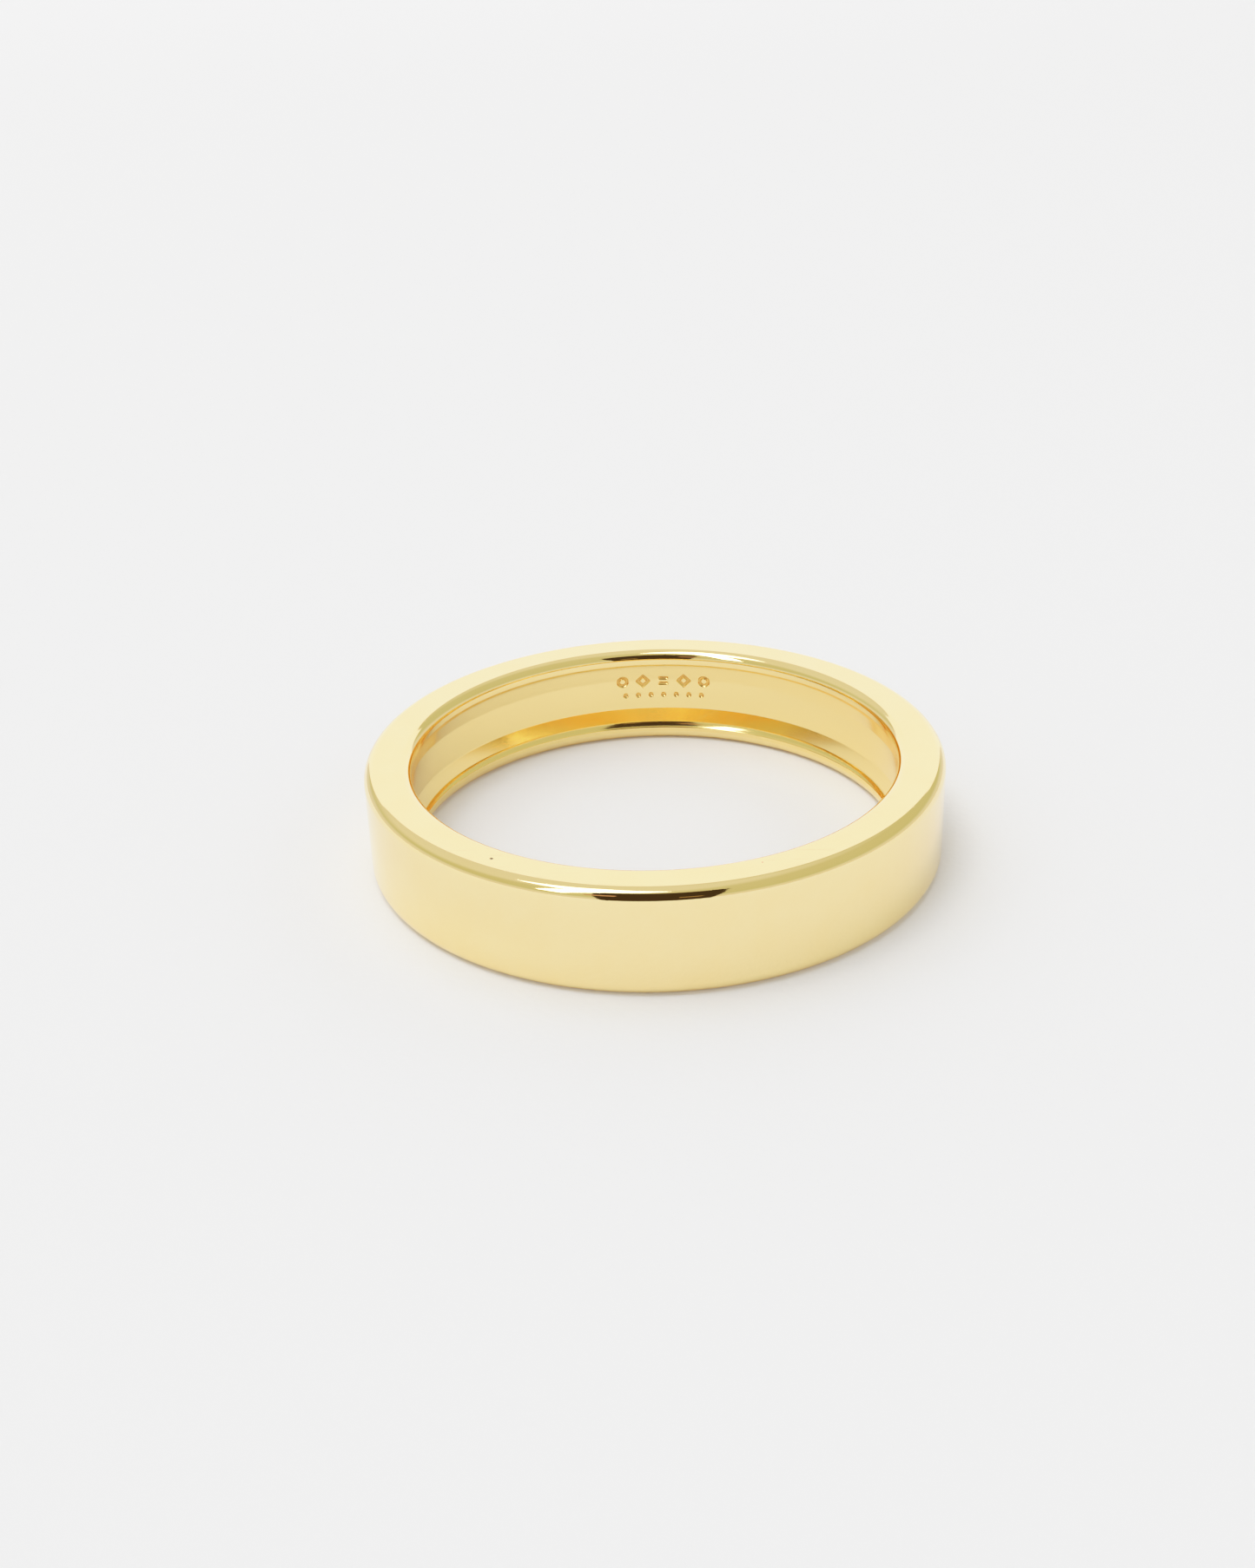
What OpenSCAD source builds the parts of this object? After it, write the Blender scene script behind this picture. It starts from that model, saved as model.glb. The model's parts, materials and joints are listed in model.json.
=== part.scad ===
// Plain flat wedding band: one ring of gold with a flat outer wall, flat rims,
// softly rounded edges and a small decorative stamp inside. The finger bore
// touches the finger on two straight lips, and the wall between them is
// hollowed out. The band lies on its lower rim, and its axis points up.

/* [Band] */
// Inside diameter of the finger bore
bore_d = 18.1; // [14:0.1:23]
// Width of the band along the finger
band_w = 4.0; // [2.5:0.1:8]
// Thickness of the wall between finger bore and outer wall
wall_t = 1.75; // [1.3:0.05:2.6]

/* [Edges] */
// Rounding radius of the two outer edges
outer_round = 0.42; // [0.15:0.01:0.6]
// Rounding radius of the two inner edges
inner_round = 0.38; // [0.15:0.01:0.5]

/* [Hollow] */
// Height of each lip, from its rim to the hollow's edge
lip_h = 0.55; // [0.55:0.01:0.8]
// Lean of the hollow's sloping walls, in degrees
slope_lean = 14; // [6:1:18]
// Height of the hollow's upright middle wall, as a share of the band's width
middle_share = 0.325; // [0.25:0.025:0.4]
// Rounding radius where a sloping wall meets its lip
cove_r = 0.5; // [0.3:0.05:0.6]

/* [Stamp] */
// Depth of the stamped figures in the hollow's middle wall
stamp_depth = 0.06; // [0.03:0.01:0.12]
// Size of one stamped figure
stamp_size = 0.46; // [0.3:0.02:0.6]
// Distance between the middles of two figures, along the wall
stamp_pitch = 0.86; // [0.7:0.02:0.9]
// Width of the stroke that draws each figure
stamp_stroke = 0.1; // [0.06:0.01:0.15]
// Turn of the stamp about the band's axis, from the +Y side
stamp_turn = -3; // [-180:1:180]

/* [Hidden] */
$fn = 96;
bore_r = bore_d / 2;
outer_r = bore_r + wall_t;
// Lean of the cove right at the lip's edge, in degrees
lip_lean = 47;
// Where the cove ends and the sloping wall begins: its height and depth
cove_top = lip_h + cove_r * (sin(lip_lean) - sin(slope_lean));
cove_depth = cove_r * (cos(slope_lean) - cos(lip_lean));
// Lower end of the middle wall, and how deep that wall lies
middle_low = band_w * (1 - middle_share) / 2;
hollow_depth = cove_depth + (middle_low - cove_top) * tan(slope_lean);
middle_r = bore_r + hollow_depth;
// How far a cutter starts inside the bore, clear of the wall
cutter_clear = 0.4;

// A square with its lower corner at (x, y)
module block(x, y, w, h) {
    translate([x, y]) square([w, h]);
}

// A corner's rounding disc, centred r in from the corner on both sides
module corner(x, y, r) {
    translate([x, y]) circle(r = r);
}

// Half section of the hollow between the lips: an upright middle wall, a
// sloping wall above and below it, and a round cove at each lip
module hollow() {
    polygon([
        [bore_r - cutter_clear, cove_top],
        [bore_r + cove_depth, cove_top],
        [middle_r, middle_low],
        [middle_r, band_w - middle_low],
        [bore_r + cove_depth, band_w - cove_top],
        [bore_r - cutter_clear, band_w - cove_top]
    ]);
    cove_rise = lip_h + cove_r * sin(lip_lean);
    for (z = [cove_rise, band_w - cove_rise])
        translate([bore_r - cove_r * cos(lip_lean), z]) circle(r = cove_r);
}

// Half section of the solid bar: flat sides and four rounded corners
module bar() {
    // Middle of the bar, clear of all four corners
    block(bore_r + inner_round, 0, wall_t - inner_round - outer_round, band_w);
    // Straight finger side
    block(bore_r, inner_round, inner_round, band_w - 2 * inner_round);
    // Straight outer side
    block(outer_r - outer_round, outer_round, outer_round,
          band_w - 2 * outer_round);
    for (z = [0, 1]) {
        corner(bore_r + inner_round,
               z == 0 ? inner_round : band_w - inner_round, inner_round);
        corner(outer_r - outer_round,
               z == 0 ? outer_round : band_w - outer_round, outer_round);
    }
}

// Places a flat figure on the middle wall, arc millimetres along it and z up
// it, and sinks it into the metal
module sink(arc, z) {
    turn = stamp_turn - arc / middle_r * 180 / PI;
    rotate([0, 0, turn])
        translate([0, middle_r + stamp_depth, z])
            rotate([90, 0, 0])
                linear_extrude(height = cutter_clear + stamp_depth)
                    children();
}

// An open lozenge
module lozenge(s, t) {
    rotate(45)
        difference() {
            square(s * 0.78, center = true);
            square(s * 0.78 - 2 * t, center = true);
        }
}

// An open ring
module ring(s, t) {
    difference() {
        circle(d = s);
        circle(d = s - 2 * t);
    }
}

// Two level strokes, one above the other
module pair(s, t) {
    for (k = [-1, 1])
        translate([0, k * s * 0.26]) square([s, t], center = true);
}

// Lower row of the stamp: plain dots of even size
module dots(count, z) {
    for (k = [0 : count - 1])
        sink((k - (count - 1) / 2) * stamp_pitch * 0.62, z)
            circle(d = stamp_stroke * 1.8);
}

// Upper row of the stamp: ring, lozenge, strokes, lozenge, ring
module figures(z) {
    for (k = [-2, 2]) sink(k * stamp_pitch, z) ring(stamp_size, stamp_stroke);
    for (k = [-1, 1]) sink(k * stamp_pitch, z) lozenge(stamp_size, stamp_stroke);
    sink(0, z) pair(stamp_size, stamp_stroke);
}

module band() {
    color([0.94, 0.83, 0.58])
        difference() {
            rotate_extrude($fn = 240)
                difference() {
                    bar();
                    hollow();
                }
            figures(band_w * 0.65);
            dots(7, band_w * 0.49);
        }
}

band();
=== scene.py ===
"""A polished gold wedding band lying on a plain pale floor under soft studio light."""

import json
import math

import bpy
import numpy as np
from mathutils import Matrix, Vector

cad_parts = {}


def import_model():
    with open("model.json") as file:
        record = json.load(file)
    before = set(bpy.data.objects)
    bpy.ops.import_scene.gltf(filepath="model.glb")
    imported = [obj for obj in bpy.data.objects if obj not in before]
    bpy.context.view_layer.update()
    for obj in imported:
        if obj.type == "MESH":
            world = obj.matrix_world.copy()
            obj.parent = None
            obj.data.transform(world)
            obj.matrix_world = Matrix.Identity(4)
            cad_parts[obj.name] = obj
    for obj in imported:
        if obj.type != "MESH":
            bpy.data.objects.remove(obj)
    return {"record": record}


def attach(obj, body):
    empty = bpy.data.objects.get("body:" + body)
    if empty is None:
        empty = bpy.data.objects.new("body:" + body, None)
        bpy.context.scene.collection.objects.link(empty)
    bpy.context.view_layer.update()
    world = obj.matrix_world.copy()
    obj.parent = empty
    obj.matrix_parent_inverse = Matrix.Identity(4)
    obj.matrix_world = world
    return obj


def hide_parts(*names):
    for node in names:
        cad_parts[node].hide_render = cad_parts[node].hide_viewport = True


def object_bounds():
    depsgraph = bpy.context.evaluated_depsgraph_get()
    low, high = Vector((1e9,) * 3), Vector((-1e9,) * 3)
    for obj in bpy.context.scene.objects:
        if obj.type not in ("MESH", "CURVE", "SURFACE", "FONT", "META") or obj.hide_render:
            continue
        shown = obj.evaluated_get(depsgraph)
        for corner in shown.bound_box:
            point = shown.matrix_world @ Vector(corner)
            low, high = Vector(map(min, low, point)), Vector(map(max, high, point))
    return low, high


MM = 0.001

# Band details that the frame's box and mounts don't state
OUTER_ROUND = 0.42 * MM
INNER_ROUND = 0.38 * MM
LIP = 0.55 * MM
LIP_LEAN = math.radians(47)
SLOPE_LEAN = math.radians(14)
MIDDLE_SHARE = 0.325
COVE_RADIUS = 0.5 * MM
STAMP_DEPTH = 0.06 * MM
STAMP_SIZE = 0.46 * MM
STAMP_PITCH = 0.86 * MM
STAMP_STROKE = 0.10 * MM
STAMP_TURN = math.radians(3)
DOT_PITCH = 0.62 * STAMP_PITCH
DOT_COUNT = 7

# How finely the band's mesh follows its curves
CORNER_STEPS = 16
TURN_STEP = math.radians(1.5)
STAMP_STEP = 0.024 * MM
SUPPORT = 0.02 * MM

# Gold's colours, with a painted reflection for the inside of the band and painted shade for its
# marks
GOLD = (1.0, 0.765, 0.345, 1)
GOLD_PATCH = (1.0, 0.752, 0.33, 1)
# Painted reflection: a deeper orange over the bore wall that stands in for light bouncing round
# inside the band
INSIDE_PAINTED_REFLECTION = (1.0, 0.735, 0.29, 1)
# Painted shade: a darker, deeper orange for the stamp's pressed-in recess
STAMP_PAINTED_SHADE = (0.86, 0.50, 0.15, 1)
# Painted shade: a darker orange-brown for the nick on the upper rim
NICK_PAINTED_SHADE = (0.70, 0.38, 0.16, 1)
# Painted shade: a near-black colour for the pit on the upper rim
PIT_PAINTED_SHADE = (0.10, 0.07, 0.03, 1)

# Wear: heights of the fine relief, and two marks on the upper rim
BUMP_HEIGHT = 0.001 * MM
FLOOR_TOOTH = 0.02 * MM
RIM_PIT = (-5.51 * MM, -8.25 * MM, 4.0 * MM)
RIM_NICK = (3.48 * MM, -8.99 * MM, 4.0 * MM)

# Room colours by the sine of the height angle
ROOM_BANDS = (
    (0.18, (0.97, 0.95, 0.88)),
    (0.34, (0.72, 0.71, 0.46)),
)

# Where the pale part of the ceiling lies, as a direction from the band
CEILING_TOWARDS = (-0.30, 0.35, 0.89)

# Camera: how far and how high it stands from the band's base centre, how it is turned
# from looking straight at that centre, and its lens in millimetres
CAMERA_DISTANCE = 70.0 * MM
CAMERA_HEIGHT_ANGLE = math.radians(28.7)
CAMERA_PITCH = math.radians(1.80)
CAMERA_YAW = math.radians(-0.85)
CAMERA_ROLL = math.radians(-1.605)
CAMERA_LENS = 41.86


# ---------------------------------------------------------------- band shape

def read_band(frame, low, high):
    """The band's main sizes, from the CAD box and the finger bore's mount."""
    mounts = {mount["name"]: mount for mount in frame["record"]["mounts"]}
    dims = mounts["finger_bore"]["dims"]
    band = {
        "bore": dims["r_mm"] * MM,
        "outer": (high.x - low.x) / 2,
        "width": high.z - low.z,
    }
    band["middle"] = band["bore"] + float(hollow(band["width"] / 2, band))
    return band


def hollow(height, band):
    """How far the bore's wall is hollowed back at a height: cove, slope, then upright middle."""
    from_rim = np.minimum(height, band["width"] - height)
    middle_low = band["width"] * (1 - MIDDLE_SHARE) / 2
    cove_rise = LIP + COVE_RADIUS * math.sin(LIP_LEAN)
    cove_top = cove_rise - COVE_RADIUS * math.sin(SLOPE_LEAN)
    cove_depth = COVE_RADIUS * (math.cos(SLOPE_LEAN) - math.cos(LIP_LEAN))
    below = np.clip(cove_rise - from_rim, -COVE_RADIUS, COVE_RADIUS)
    cove = np.sqrt(COVE_RADIUS ** 2 - below ** 2) - COVE_RADIUS * math.cos(LIP_LEAN)
    slope = cove_depth + (np.minimum(from_rim, middle_low) - cove_top) * math.tan(SLOPE_LEAN)
    return np.where(from_rim < cove_top, np.maximum(cove, 0), slope)


def corner(centre_r, centre_z, radius, start):
    """A quarter circle of the section, turning from start by a quarter turn."""
    steps = np.linspace(0, math.pi / 2, CORNER_STEPS + 1)
    turn = start - steps
    return [(centre_r + radius * math.cos(a), centre_z + radius * math.sin(a)) for a in turn]


def straight(start, end, step):
    """Points between two ends of a flat, with a support loop close to each end."""
    start, end = Vector(start), Vector(end)
    length = (end - start).length
    count = max(2, round((length - 2 * SUPPORT) / step) + 1)
    places = np.linspace(SUPPORT, length - SUPPORT, count)
    return [tuple(start.lerp(end, place / length)) for place in places]


def section(band):
    """The closed half section as (radius, height), and how many leading points lie on the bore."""
    bore, outer, width = band["bore"], band["outer"], band["width"]
    small, large = INNER_ROUND, OUTER_ROUND
    wall = straight((bore, small), (bore, width - small), STAMP_STEP)
    points = list(wall)
    points += corner(bore + small, width - small, small, math.pi)
    points += straight((bore + small, width), (outer - large, width), 0.2 * MM)
    points += corner(outer - large, width - large, large, math.pi / 2)
    points += straight((outer, width - large), (outer, large), 0.25 * MM)
    points += corner(outer - large, large, large, 0)
    points += straight((outer - large, 0), (bore + small, 0), 0.2 * MM)
    points += corner(bore + small, small, small, -math.pi / 2)
    return points, len(wall)


def turns(band):
    """Angles round the axis from +Y towards +X, finer where the stamp is."""
    half = (2 * STAMP_PITCH + STAMP_SIZE) / band["middle"]
    fine = np.linspace(STAMP_TURN - half, STAMP_TURN + half,
                       round(2 * half * band["middle"] / STAMP_STEP) + 1)
    coarse_count = round((2 * math.pi - 2 * half) / TURN_STEP)
    coarse = np.linspace(STAMP_TURN + half, STAMP_TURN - half + 2 * math.pi, coarse_count + 1)
    return np.concatenate([fine, coarse[1:-1]])


def stroke(distance):
    """1 on a stroke's middle line and 0 past its edge, with sloping sides."""
    return np.clip((STAMP_STROKE / 2 - np.abs(distance)) / (0.4 * STAMP_STROKE) + 0.5, 0, 1)


def stamp(along, height, band):
    """How far the stamp is pressed in, 0 to 1, for places along the middle wall and up it."""
    pressed = np.zeros(np.broadcast(along, height).shape)
    rise = height - 0.65 * band["width"]
    radius = (STAMP_SIZE - STAMP_STROKE) / 2
    for place in (-2, 2):
        ring = np.hypot(along - place * STAMP_PITCH, rise) - radius
        pressed = np.maximum(pressed, stroke(ring))
    for place in (-1, 1):
        lozenge = (np.abs(along - place * STAMP_PITCH) + np.abs(rise)) - radius * 1.25
        pressed = np.maximum(pressed, stroke(lozenge / math.sqrt(2)))
    for side in (-1, 1):
        inside = np.clip((STAMP_SIZE / 2 - np.abs(along)) / STAMP_STROKE, 0, 1)
        pressed = np.maximum(pressed, stroke(rise - side * 0.26 * STAMP_SIZE) * inside)
    for number in range(DOT_COUNT):
        place = (number - (DOT_COUNT - 1) / 2) * DOT_PITCH
        dot = np.hypot(along - place, height - 0.49 * band["width"])
        pressed = np.maximum(pressed, stroke(dot * 0.6))
    return pressed


def make_band(band):
    """The band as one closed mesh of quads turned about the axis, with the stamp pressed in."""
    points, on_wall = section(band)
    around = turns(band)
    radius = np.array([point[0] for point in points])[None, :].repeat(len(around), 0)
    height = np.array([point[1] for point in points])[None, :].repeat(len(around), 0)
    away = (around - STAMP_TURN + math.pi) % (2 * math.pi) - math.pi
    along = (away * band["middle"])[:, None]
    pressed = np.zeros_like(radius)
    pressed[:, :on_wall] = stamp(along, height[:, :on_wall], band)
    radius[:, :on_wall] += hollow(height[:, :on_wall], band)
    radius += pressed * (band["middle"] + STAMP_DEPTH - radius)
    places = np.stack([radius * np.sin(around)[:, None],
                       radius * np.cos(around)[:, None],
                       height], axis=-1)
    columns, rows = radius.shape
    index = np.arange(columns * rows).reshape(columns, rows)
    after = np.roll(index, -1, axis=0)
    quads = np.stack([index, np.roll(index, -1, axis=1),
                      np.roll(after, -1, axis=1), after], axis=-1)
    mesh = bpy.data.meshes.new("gold_band")
    mesh.from_pydata(places.reshape(-1, 3).tolist(), [], quads.reshape(-1, 4).tolist())
    inside = np.zeros_like(radius)
    inside[:, :on_wall] = 1
    for name, values in (("stamped", pressed), ("inside", inside)):
        mark = mesh.attributes.new(name, "FLOAT", "POINT")
        mark.data.foreach_set("value", values.astype(np.float32).ravel())
    mesh.shade_smooth()
    piece = bpy.data.objects.new("gold_band", mesh)
    bpy.context.collection.objects.link(piece)
    return piece


# ---------------------------------------------------------------- materials

def new_material(name):
    """A material with its node tree and its shader."""
    material = bpy.data.materials.new(name)
    material.use_nodes = True
    tree = material.node_tree
    return material, tree, tree.nodes["Principled BSDF"]


def add_node(tree, kind, inputs, **settings):
    """Adds a node, with each named input either linked to a socket or set to a value."""
    node = tree.nodes.new(kind)
    for name, value in settings.items():
        setattr(node, name, value)
    for name, value in inputs.items():
        if isinstance(value, bpy.types.NodeSocket):
            tree.links.new(value, node.inputs[name])
        else:
            node.inputs[name].default_value = value
    return node


def maths(tree, operation, first, second=0.0):
    """One step of arithmetic on sockets or numbers."""
    return add_node(tree, "ShaderNodeMath", {0: first, 1: second}, operation=operation).outputs[0]


def ramp(tree, value, low, high, start=0.0, end=1.0):
    """A value moved from the range low to high into the range start to end, and held there."""
    inputs = {"Value": value, "From Min": low, "From Max": high, "To Min": start, "To Max": end}
    return add_node(tree, "ShaderNodeMapRange", inputs).outputs["Result"]


def noise(tree, place, scale, detail=2.0):
    """Soft random values from about 0.2 to 0.8, with this many features to the metre."""
    inputs = {"Vector": place, "Scale": scale, "Detail": detail}
    return add_node(tree, "ShaderNodeTexNoise", inputs).outputs["Fac"]


def hairlines(tree, place, turn):
    """1 on sparse straight scratches that run one way, and 0 off them."""
    inputs = {"Vector": place, "Rotation": turn, "Scale": (260, 11000, 2600)}
    mapped = add_node(tree, "ShaderNodeMapping", inputs).outputs["Vector"]
    return ramp(tree, noise(tree, mapped, 1.0, 3.0), 0.67, 0.75)


def near_point(tree, place, point, radius):
    """1 at a point of the metal, falling to 0 at a ragged edge within a radius of it."""
    inputs = {0: place, 1: point}
    apart = add_node(tree, "ShaderNodeVectorMath", inputs, operation="DISTANCE").outputs["Value"]
    ragged = maths(tree, "MULTIPLY", noise(tree, place, 26000), radius)
    apart = maths(tree, "ADD", apart, ragged)
    return ramp(tree, apart, radius * 0.9, radius * 1.3, 1.0, 0.0)


def mix_colour(tree, factor, first, second):
    """The first colour, turning into the second where the factor is 1."""
    node = add_node(tree, "ShaderNodeMix", {}, data_type="RGBA")
    for place, value in ((0, factor), (6, first), (7, second)):
        if isinstance(value, bpy.types.NodeSocket):
            tree.links.new(value, node.inputs[place])
        else:
            node.inputs[place].default_value = value
    return node.outputs[2]


def gold_colour(tree, place, stamped, inside, nick, pit):
    """Yellow gold, a little deeper orange inside the band as a painted reflection, and darker in its
    marks as painted shade.
    """
    patches = ramp(tree, noise(tree, place, 700), 0.35, 0.65)
    colour = mix_colour(tree, patches, GOLD, GOLD_PATCH)
    # Painted reflection: the bore wall tinted deeper orange for the light that bounces round inside
    colour = mix_colour(tree, inside, colour, INSIDE_PAINTED_REFLECTION)
    # Painted shade: darker in the stamp's recess
    colour = mix_colour(tree, stamped, colour, STAMP_PAINTED_SHADE)
    # Painted shade: darker at the nick
    colour = mix_colour(tree, nick, colour, NICK_PAINTED_SHADE)
    # Painted shade: near-black in the pit
    return mix_colour(tree, pit, colour, PIT_PAINTED_SHADE)


def gold_roughness(tree, place, stamped, inside, scratches, pit):
    """A mirror polish that is uneven, and duller inside the band and in its marks."""
    rough = ramp(tree, noise(tree, place, 500, 4.0), 0.3, 0.7, 0.035, 0.065)
    for mark, extra in ((scratches, 0.03), (inside, 0.07), (stamped, 0.22), (pit, 0.4)):
        rough = maths(tree, "ADD", rough, maths(tree, "MULTIPLY", mark, extra))
    return rough


def gold_material():
    """Polished yellow gold: fine grain, faint hairlines, two marks and a duller stamp, with a
    painted reflection inside the band and painted shade in the marks and stamp.
    """
    material, tree, shader = new_material("gold")
    place = tree.nodes.new("ShaderNodeTexCoord").outputs["Object"]
    stamped = add_node(tree, "ShaderNodeAttribute", {}, attribute_name="stamped").outputs["Fac"]
    inside = add_node(tree, "ShaderNodeAttribute", {}, attribute_name="inside").outputs["Fac"]
    pit = near_point(tree, place, RIM_PIT, 0.09 * MM)
    nick = near_point(tree, place, RIM_NICK, 0.05 * MM)
    scratches = maths(tree, "ADD", hairlines(tree, place, (0.4, 0.9, 0.3)),
                      hairlines(tree, place, (1.1, -0.5, 1.4)))
    colour = gold_colour(tree, place, stamped, inside, nick, pit)
    rough = gold_roughness(tree, place, stamped, inside, scratches, pit)

    height = maths(tree, "MULTIPLY", noise(tree, place, 14000, 3.0), 0.35)
    height = maths(tree, "SUBTRACT", height, maths(tree, "MULTIPLY", scratches, 0.5))
    height = maths(tree, "SUBTRACT", height, maths(tree, "MULTIPLY", pit, 20.0))
    bump = {"Height": height, "Strength": 1.0, "Distance": BUMP_HEIGHT}
    tree.links.new(colour, shader.inputs["Base Color"])
    tree.links.new(rough, shader.inputs["Roughness"])
    tree.links.new(add_node(tree, "ShaderNodeBump", bump).outputs["Normal"], shader.inputs["Normal"])
    shader.inputs["Metallic"].default_value = 1.0
    return material


def floor_material():
    """Matt white card with a faint tooth."""
    material, tree, shader = new_material("floor")
    place = tree.nodes.new("ShaderNodeTexCoord").outputs["Object"]
    tooth = noise(tree, place, 3500, 4.0)
    bump = {"Height": tooth, "Strength": 1.0, "Distance": FLOOR_TOOTH}
    tree.links.new(add_node(tree, "ShaderNodeBump", bump).outputs["Normal"], shader.inputs["Normal"])
    shader.inputs["Base Color"].default_value = (0.86, 0.86, 0.86, 1)
    shader.inputs["Roughness"].default_value = 0.85
    shader.inputs["Specular IOR Level"].default_value = 0.15
    return material


# ---------------------------------------------------------------- studio

def add_plane(name, corners, material):
    """One flat stage card with these corners."""
    mesh = bpy.data.meshes.new(name)
    mesh.from_pydata([tuple(place) for place in corners], [], [tuple(range(len(corners)))])
    mesh.materials.append(material)
    card = bpy.data.objects.new(name, mesh)
    bpy.context.collection.objects.link(card)
    return card


def add_floor():
    """The pale table top, in metres each way from the band."""
    half = 4.0
    corners = [(-half, -half, 0), (half, -half, 0), (half, half, 0), (-half, half, 0)]
    add_plane("floor", corners, floor_material())


def glow_material(name, colour, strength):
    """A surface that only gives off light."""
    material = bpy.data.materials.new(name)
    material.use_nodes = True
    tree = material.node_tree
    tree.nodes.clear()
    glow = tree.nodes.new("ShaderNodeEmission")
    glow.inputs["Color"].default_value = (*colour, 1)
    glow.inputs["Strength"].default_value = strength
    out = tree.nodes.new("ShaderNodeOutputMaterial")
    tree.links.new(glow.outputs[0], out.inputs["Surface"])
    return material


def add_backdrop():
    """The pale board behind the band, which its upper rim mirrors."""
    behind, wide, tall = 0.62, 0.36, 0.41
    corners = [(-wide, behind, 0), (wide, behind, 0), (wide, behind, tall), (-wide, behind, tall)]
    add_plane("backdrop", corners, glow_material("backdrop", (1.0, 0.99, 1.0), 1.6))


def add_surround():
    """A pale wall far off all round, which lights the floor and isn't mirrored."""
    steps = 48
    radius, tall = 3.9, 4.0
    mesh = bpy.data.meshes.new("surround")
    turn = [2 * math.pi * step / steps for step in range(steps)]
    places = [(radius * math.sin(a), radius * math.cos(a), z) for z in (0, tall) for a in turn]
    faces = [(k, (k + 1) % steps, steps + (k + 1) % steps, steps + k) for k in range(steps)]
    mesh.from_pydata(places, [], faces)
    mesh.materials.append(glow_material("surround", (1, 1, 1), 1.35))
    wall = bpy.data.objects.new("surround", mesh)
    bpy.context.collection.objects.link(wall)
    wall.visible_glossy = False
    wall.visible_shadow = False


def add_mirrored_card(name, camera, middle, size, behind, glow):
    """A card near the lens that only reflections see, placed in the camera's own axes."""
    x, y = middle
    wide, tall = size
    ends = ((x - wide, y - tall), (x + wide, y - tall), (x + wide, y + tall), (x - wide, y + tall))
    corners = [camera.matrix_world @ Vector((a * MM, b * MM, behind * MM)) for a, b in ends]
    card = add_plane(name, corners, glow_material(name, glow, 1.0))
    card.visible_camera = False
    card.visible_diffuse = False
    card.visible_shadow = False


def add_photographer(camera):
    """The dark shape round the lens, and the warm hands that hold it."""
    add_mirrored_card("dark_card", camera, (0, 0), (28, 46), 6, (0.055, 0.036, 0.02))
    add_mirrored_card("left_hand", camera, (-24, 10), (7, 5), 4, (0.62, 0.36, 0.26))
    add_mirrored_card("right_hand", camera, (14, -9), (5, 3), 4, (0.40, 0.26, 0.13))


def add_panel(name, centre, size, radiance):
    """A white rectangular light that faces the band, with the same radiance at any size."""
    light = bpy.data.lights.new(name, "AREA")
    light.shape = "RECTANGLE"
    light.size, light.size_y = size
    light.energy = radiance * math.pi * size[0] * size[1]
    lamp = bpy.data.objects.new(name, light)
    lamp.location = centre
    lamp.rotation_euler = (-Vector(centre)).to_track_quat("-Z", "Y").to_euler()
    bpy.context.collection.objects.link(lamp)
    return lamp


def add_lights():
    """A skylight and a window that the gold mirrors, and a wide fill that it doesn't."""
    add_panel("skylight", (-0.43, -0.22, 1.8), (0.83, 0.81), 6.0)
    window = add_panel("window", (-0.95, -1.05, 1.5), (0.34, 1.3), 8.0)
    window.visible_diffuse = False
    fill = add_panel("fill", (-0.6, 0.4, 2.4), (2.5, 2.5), 2.3)
    fill.visible_glossy = False


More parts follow.
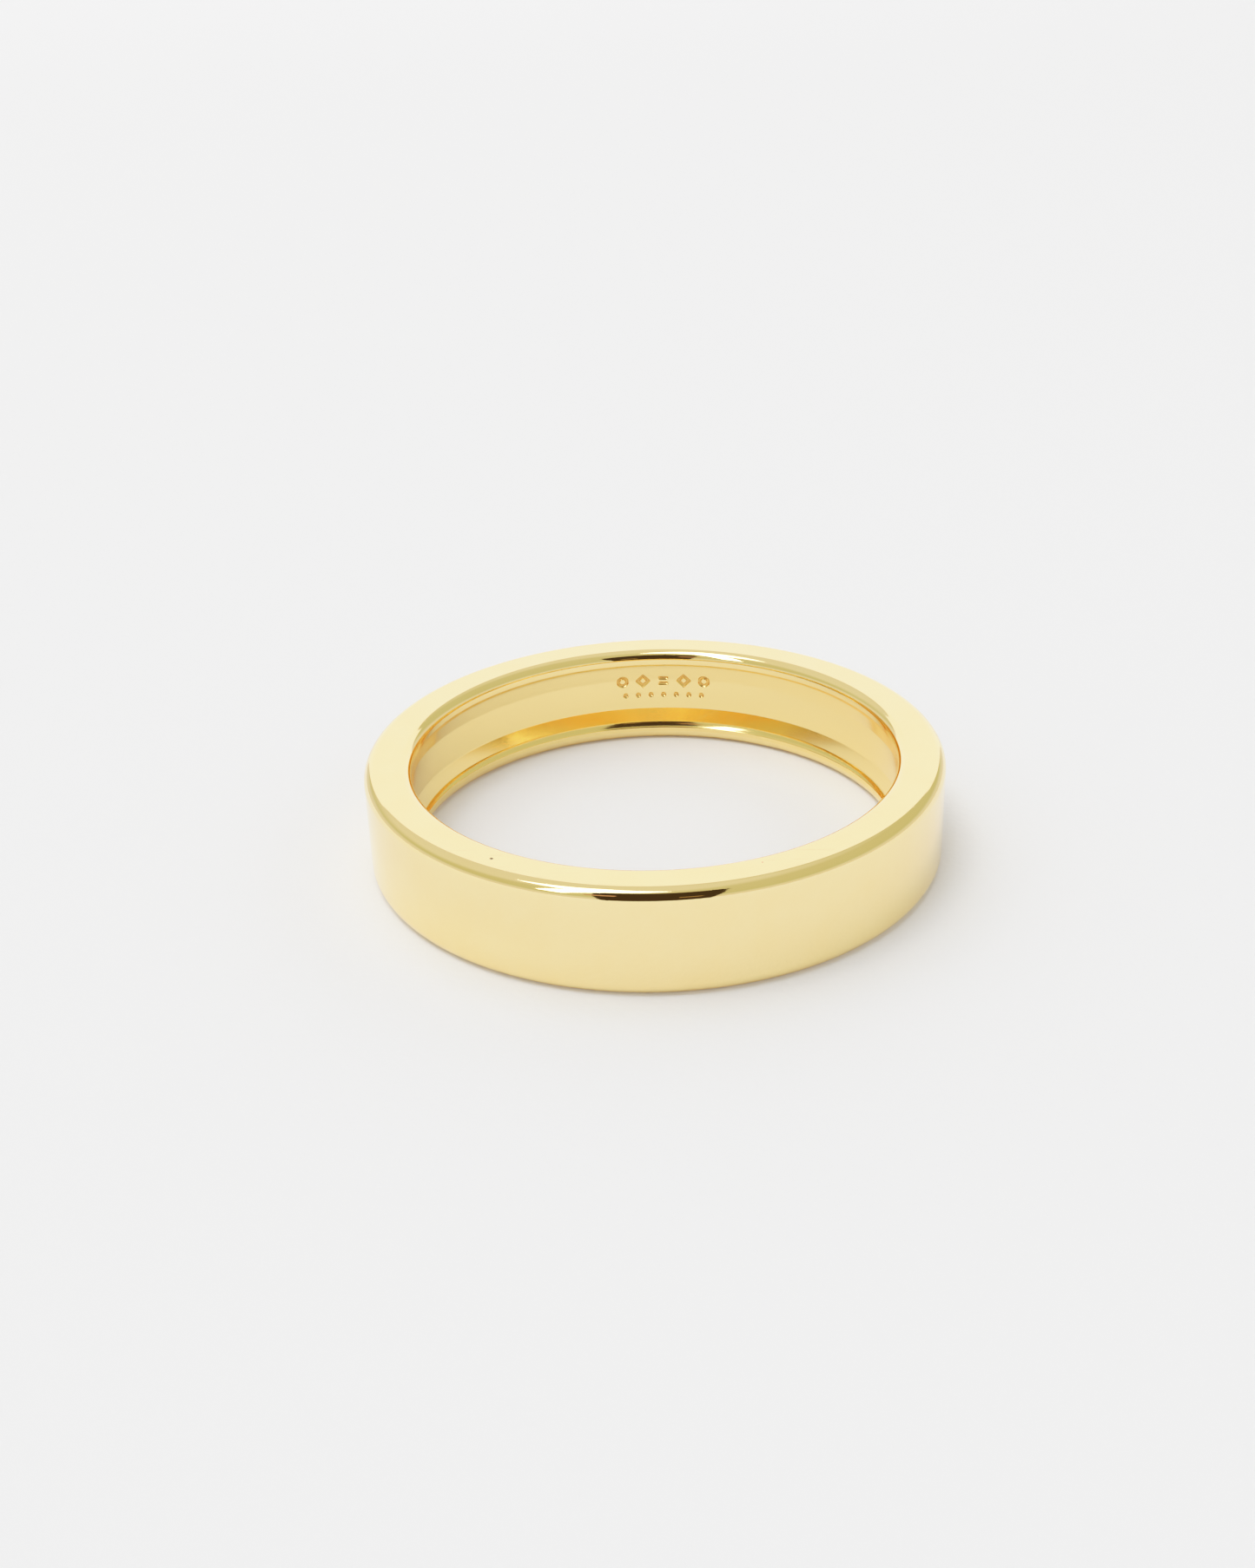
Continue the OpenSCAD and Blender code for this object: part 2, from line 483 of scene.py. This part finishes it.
def set_room():
    """The warm room that the rounded edges mirror, with a paler floor line and ceiling."""
    world = bpy.data.worlds.new("room")
    bpy.context.scene.world = world
    world.use_nodes = True
    tree = world.node_tree
    direction = tree.nodes.new("ShaderNodeTexCoord").outputs["Generated"]
    up = add_node(tree, "ShaderNodeSeparateXYZ", {0: direction}).outputs["Z"]
    shades = tree.nodes.new("ShaderNodeValToRGB")
    tree.links.new(up, shades.inputs[0])
    bands = shades.color_ramp.elements
    bands[0].color = (1.0, 0.97, 0.90, 1)
    bands[1].color = (0.76, 0.74, 0.52, 1)
    for rise, colour in ROOM_BANDS:
        bands.new(rise).color = (*colour, 1)
    towards = add_node(tree, "ShaderNodeVectorMath", {0: direction, 1: CEILING_TOWARDS},
                       operation="DOT_PRODUCT").outputs["Value"]
    ceiling = ramp(tree, towards, 0.70, 0.88)
    colour = mix_colour(tree, ceiling, shades.outputs["Color"], (1.0, 0.97, 0.86, 1))
    back = tree.nodes["Background"]
    tree.links.new(colour, back.inputs["Color"])
    back.inputs["Strength"].default_value = 1.0
    world.cycles_visibility.diffuse = False


def add_camera():
    """The camera, a little above the band and in front of it."""
    lift, distance = CAMERA_HEIGHT_ANGLE, CAMERA_DISTANCE
    place = Vector((0, -distance * math.cos(lift), distance * math.sin(lift)))
    aim = Matrix.Rotation(math.pi / 2 - lift + CAMERA_PITCH, 4, "X")
    aim = aim @ Matrix.Rotation(-CAMERA_YAW, 4, "Y") @ Matrix.Rotation(CAMERA_ROLL, 4, "Z")
    data = bpy.data.cameras.new("camera")
    data.lens = CAMERA_LENS
    data.sensor_width = 36
    data.clip_start = 0.002
    data.clip_end = 20
    camera = bpy.data.objects.new("camera", data)
    camera.matrix_world = Matrix.Translation(place) @ aim
    bpy.context.collection.objects.link(camera)
    bpy.context.scene.camera = camera
    return camera


def set_tone():
    """A photographic tone curve: straight in the shadows, with a soft shoulder."""
    view = bpy.context.scene.view_settings
    view.view_transform = "Standard"
    view.use_curve_mapping = True
    mapping = view.curve_mapping
    top = 3.0
    mapping.white_level = (top, top, top)
    curve = mapping.curves[3]
    for light, shown in ((0.3, 0.3), (0.55, 0.5), (0.95, 0.72), (1.35, 0.875), (2.0, 0.97)):
        curve.points.new(light / top, shown)
    mapping.update()


def set_bounces():
    """Enough mirror bounces for the light that runs round inside the bore."""
    cycles = bpy.context.scene.cycles
    cycles.max_bounces = 24
    cycles.glossy_bounces = 16
    cycles.diffuse_bounces = 6


def main():
    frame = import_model()
    cad_low, cad_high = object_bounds()
    piece = make_band(read_band(frame, cad_low, cad_high))
    piece.data.materials.append(gold_material())
    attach(piece, "root")
    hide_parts("band")
    add_floor()
    add_backdrop()
    add_surround()
    add_photographer(add_camera())
    add_lights()
    set_room()
    set_tone()
    set_bounces()


main()
